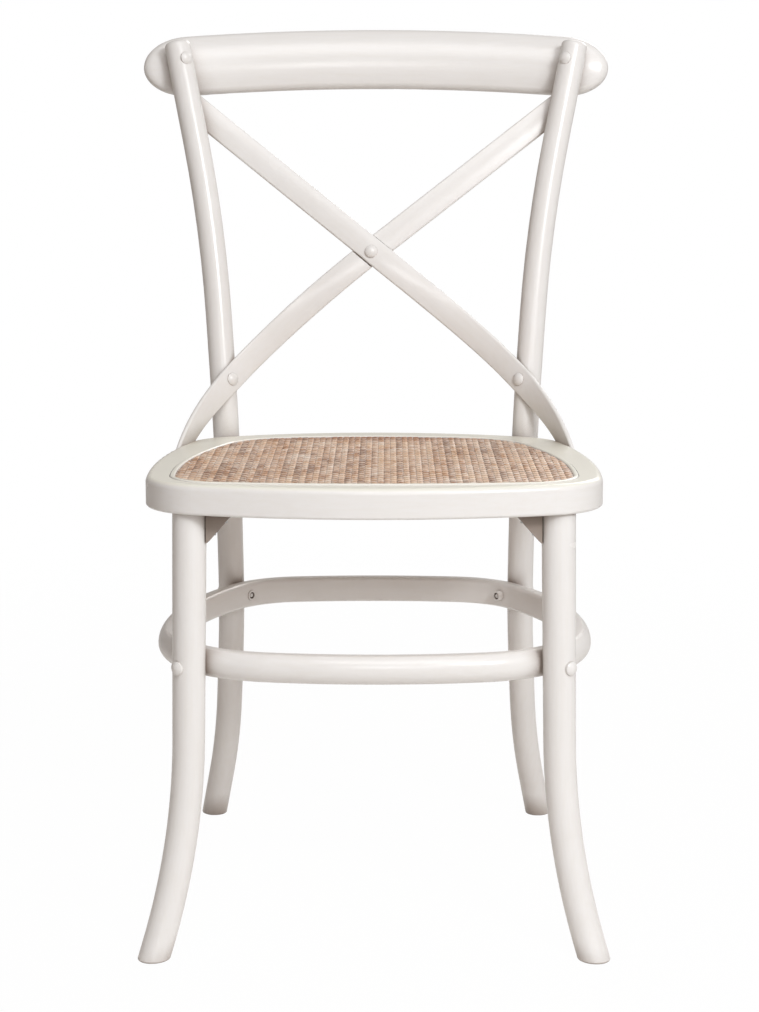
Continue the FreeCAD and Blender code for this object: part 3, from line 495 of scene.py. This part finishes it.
def panel_outline(outset):
    """Closed outline of the cane, moved outwards, from its tangent arcs."""
    low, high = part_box("cane_panel")
    half = (high[0] - low[0]) / 2
    front, back = low[1], high[1]
    fx, front_inset, fr = panel_front_corner
    bx, back_inset, br = panel_back_corner
    fy, by = front + front_inset, back - back_inset
    front_radius = end_radius(fx, fy - front, fr)
    back_radius = end_radius(bx, back - by, br)
    side_y, side_radius = side_arc(half, (fx, fy, fr), (bx, by, br))
    circles = (
        (0.0, front + front_radius, front_radius),
        (fx, fy, fr),
        (half - side_radius, side_y, side_radius),
        (bx, by, br),
        (0.0, back - back_radius, back_radius),
    )
    angles = [-math.pi / 2]
    for (ax, ay, ar), (cx, cy, cr) in zip(circles, circles[1:]):
        sign = 1 if ar > cr else -1
        angles.append(math.atan2(sign * (cy - ay), sign * (cx - ax)))
    angles.append(math.pi / 2)
    right = []
    for (cx, cy, radius), first, last in zip(circles, angles, angles[1:]):
        for step in range(steps_per_arc):
            angle = first + (last - first) * step / steps_per_arc
            reach = radius + outset
            right.append((cx + reach * math.cos(angle), cy + reach * math.sin(angle)))
    left = [(-x, y) for x, y in reversed(right)]
    return right + left


def span_at(outline, value, axis):
    """Lowest and highest crossing of the outline with a straight line."""
    other = 1 - axis
    found = []
    for first, second in zip(outline, outline[1:] + outline[:1]):
        a, b = first[axis] - value, second[axis] - value
        if a * b < 0:
            share = a / (a - b)
            found.append(first[other] + (second[other] - first[other]) * share)
    return (min(found), max(found)) if len(found) >= 2 else None


def strand(mesh, along, place, low, high, width, phase, middle_z):
    """One flat strand that passes over and under its neighbours."""
    steps = max(least_steps, math.ceil((high - low) / (warp_pitch / steps_per_pitch)))
    half, thick = width / 2, strand_thickness / 2
    flat = half * strand_flat_share
    section = ((-half, 0.0), (-flat, thick), (flat, thick),
               (half, 0.0), (flat, -thick), (-flat, -thick))
    rings = []
    for step in range(steps + 1):
        run = low + (high - low) * step / steps
        lift = weave_rise * math.cos(math.pi * run / warp_pitch + phase)
        ring = []
        for side, up in section:
            x, y = (place + side, run) if along == "y" else (run, place + side)
            ring.append(mesh.verts.new((x, y, middle_z + lift + up)))
        rings.append(ring)
    count = len(section)
    for ring, following in zip(rings, rings[1:]):
        for number in range(count):
            after = (number + 1) % count
            mesh.faces.new((ring[number], ring[after], following[after], following[number]))
    mesh.faces.new(rings[0][::-1])
    mesh.faces.new(rings[-1])


def weave(name, along, material):
    """All strands that run one way, cut to the panel's outline."""
    outline = panel_outline(edge_tuck)
    low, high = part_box("cane_panel")
    middle_z = high[2] - weave_depth
    mesh = bmesh.new()
    reach = max(high[0], abs(low[1]), abs(high[1])) + warp_pitch
    count = math.ceil(reach / warp_pitch)
    for number in range(-count, count + 1):
        place = number * warp_pitch
        odd = number % 2
        if along == "y":
            width, phase = warp_width, math.pi * odd
            span = span_at(outline, place, 0)
        else:
            width, phase = wide_weft if odd else narrow_weft
            span = span_at(outline, place, 1)
        if span and span[1] - span[0] > shortest_strand:
            strand(mesh, along, place, span[0], span[1], width, phase, middle_z)
    bmesh.ops.recalc_face_normals(mesh, faces=mesh.faces)
    data = bpy.data.meshes.new(name)
    mesh.to_mesh(data)
    mesh.free()
    for face in data.polygons:
        face.use_smooth = True
    data.materials.append(material)
    piece = bpy.data.objects.new(name, data)
    bpy.context.scene.collection.objects.link(piece)
    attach(piece, "root")
    return piece


warp_cane = cane("cane_warp", "x", warp_column_highlight, warp_tones, warp_roughness)
weft_cane = cane("cane_weft", "y", weft_column_highlight, weft_tones, weft_roughness)
warps = weave("cane_warps", "y", warp_cane)
wefts = weave("cane_wefts", "x", weft_cane)
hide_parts("cane_panel")
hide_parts("cane_panel")


# Floor, lights and camera

def pale_floor():
    """A pale floor that fades into the white background away from the chair."""
    mesh = bmesh.new()
    bmesh.ops.create_circle(mesh, cap_ends=True, segments=floor_sides, radius=floor_radius)
    data = bpy.data.meshes.new("floor")
    mesh.to_mesh(data)
    mesh.free()
    material, tree, shader = new_material("pale_floor")
    spots = noise(tree, object_coordinates(tree), 3.0, 2.0)
    link(tree, ramp(tree, spots, floor_tones), shader.inputs["Base Color"])
    shader.inputs["Roughness"].default_value = floor_roughness
    shader.inputs["Specular IOR Level"].default_value = floor_specular
    glow = node(tree, "ShaderNodeEmission")
    seen = maths(tree, "MULTIPLY", seen_directly(tree), floor_whiteness)
    lit = mix_shader(tree, seen, shader.outputs[0], glow.outputs[0])
    distance = node(tree, "ShaderNodeVectorMath", operation="LENGTH")
    link(tree, object_coordinates(tree), distance.inputs[0])
    fade = smooth_step(tree, distance.outputs["Value"], fade_start, fade_end)
    clear = node(tree, "ShaderNodeBsdfTransparent")
    faded = mix_shader(tree, fade, lit, clear.outputs[0])
    link(tree, faded, tree.nodes["Material Output"].inputs["Surface"])
    data.materials.append(material)
    floor = bpy.data.objects.new("floor", data)
    bpy.context.scene.collection.objects.link(floor)


def soft_light(name, place, aim_height, size, power, colour):
    data = bpy.data.lights.new(name, "AREA")
    data.shape = "RECTANGLE"
    data.size, data.size_y = size
    data.energy = power
    data.color = colour
    lamp = bpy.data.objects.new(name, data)
    lamp.location = place
    aim = Vector((0.0, 0.0, aim_height)) - Vector(place)
    lamp.rotation_euler = aim.to_track_quat("-Z", "Y").to_euler()
    bpy.context.scene.collection.objects.link(lamp)


def white_surroundings():
    """White as seen by the camera, and a dimmer light on the chair, dimmest from the left."""
    world = bpy.data.worlds.new("surroundings")
    bpy.context.scene.world = world
    world.use_nodes = True
    tree = world.node_tree
    background = tree.nodes["Background"]
    direction = node(tree, "ShaderNodeTexCoord").outputs["Generated"]
    sideways = maths(tree, "MULTIPLY", axes_of(tree, direction)[0], 0.5)
    from_right = maths(tree, "ADD", sideways, 0.5)
    ambient = mix_colour(tree, from_right, ambient_left, ambient_right)
    shade = mix_colour(tree, seen_directly(tree), ambient, white)
    link(tree, shade, background.inputs["Color"])
    background.inputs["Strength"].default_value = 1.0


def photo_camera():
    """The photograph's camera, level from side to side and looking a little down."""
    data = bpy.data.cameras.new("camera")
    data.sensor_width = sensor_width
    data.lens = focal_pixels * data.sensor_width / max(image_width, image_height)
    data.clip_end = far_clip
    camera = bpy.data.objects.new("camera", data)
    ahead = Vector((-math.sin(camera_yaw), math.cos(camera_yaw), 0.0))
    right = Vector((math.cos(camera_yaw), math.sin(camera_yaw), 0.0))
    forward = ahead * math.cos(camera_pitch) - Vector((0, 0, 1)) * math.sin(camera_pitch)
    up = right.cross(forward)
    turn = Matrix((right, up, -forward)).transposed().to_4x4()
    camera.matrix_world = Matrix.Translation(camera_place) @ turn
    bpy.context.scene.collection.objects.link(camera)
    bpy.context.scene.camera = camera


pale_floor()
white_surroundings()
for name, (place, aim_height, size, power, colour) in lamps.items():
    soft_light(name, place, aim_height, size, power, colour)
photo_camera()
bpy.context.scene.view_settings.view_transform = "Standard"
